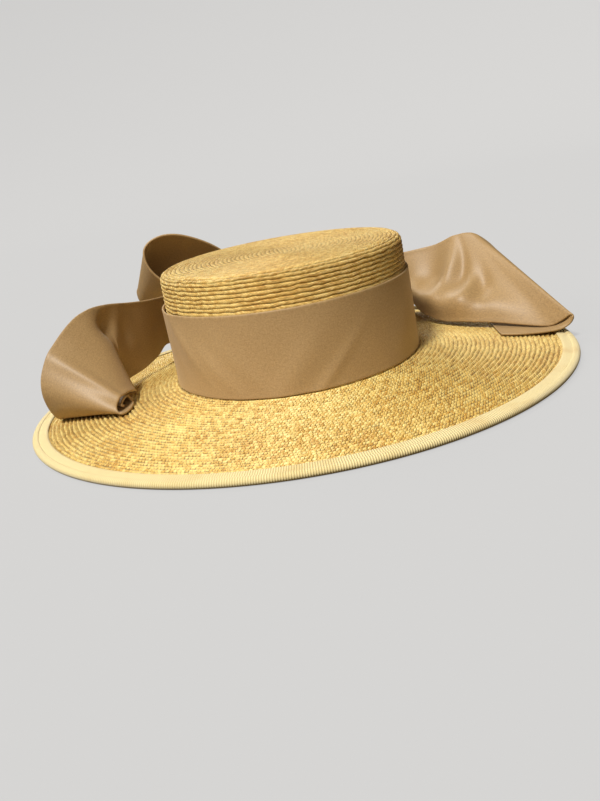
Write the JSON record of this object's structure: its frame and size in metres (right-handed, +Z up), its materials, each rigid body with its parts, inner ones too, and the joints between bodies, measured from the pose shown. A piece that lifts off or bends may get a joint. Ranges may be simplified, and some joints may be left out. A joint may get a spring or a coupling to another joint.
{
  "type": "straw boater hat",
  "caption": "Flat-topped oval straw hat with a broad stiff brim, ribbed ribbon edge binding, wide satin band and a large looped satin bow at the back.",
  "frame": {"origin": "centre of the oval head opening, on the plane that the edge of the brim rests on", "axes": "+Z up through the crown; +Y towards the bow at the back, along the long axis of the head opening; +X across the hat"},
  "size_m": [0.373, 0.407, 0.1077],
  "materials": {
    "straw_braid": "golden sewn straw braid, slightly glossy",
    "satin_ribbon": "taupe-bronze satin, soft sheen",
    "ribbed_binding": "pale cream ribbed ribbon, matt"
  },
  "bodies": {
    "root": {"crown": "straw_braid", "brim": "straw_braid", "brim_binding": "ribbed_binding", "hat_band": "satin_ribbon", "loop_left_side": "satin_ribbon", "loop_right_side": "satin_ribbon", "loop_left_standing": "satin_ribbon", "loop_right_standing": "satin_ribbon", "bow_knot": "satin_ribbon"}
  },
  "joints": []
}
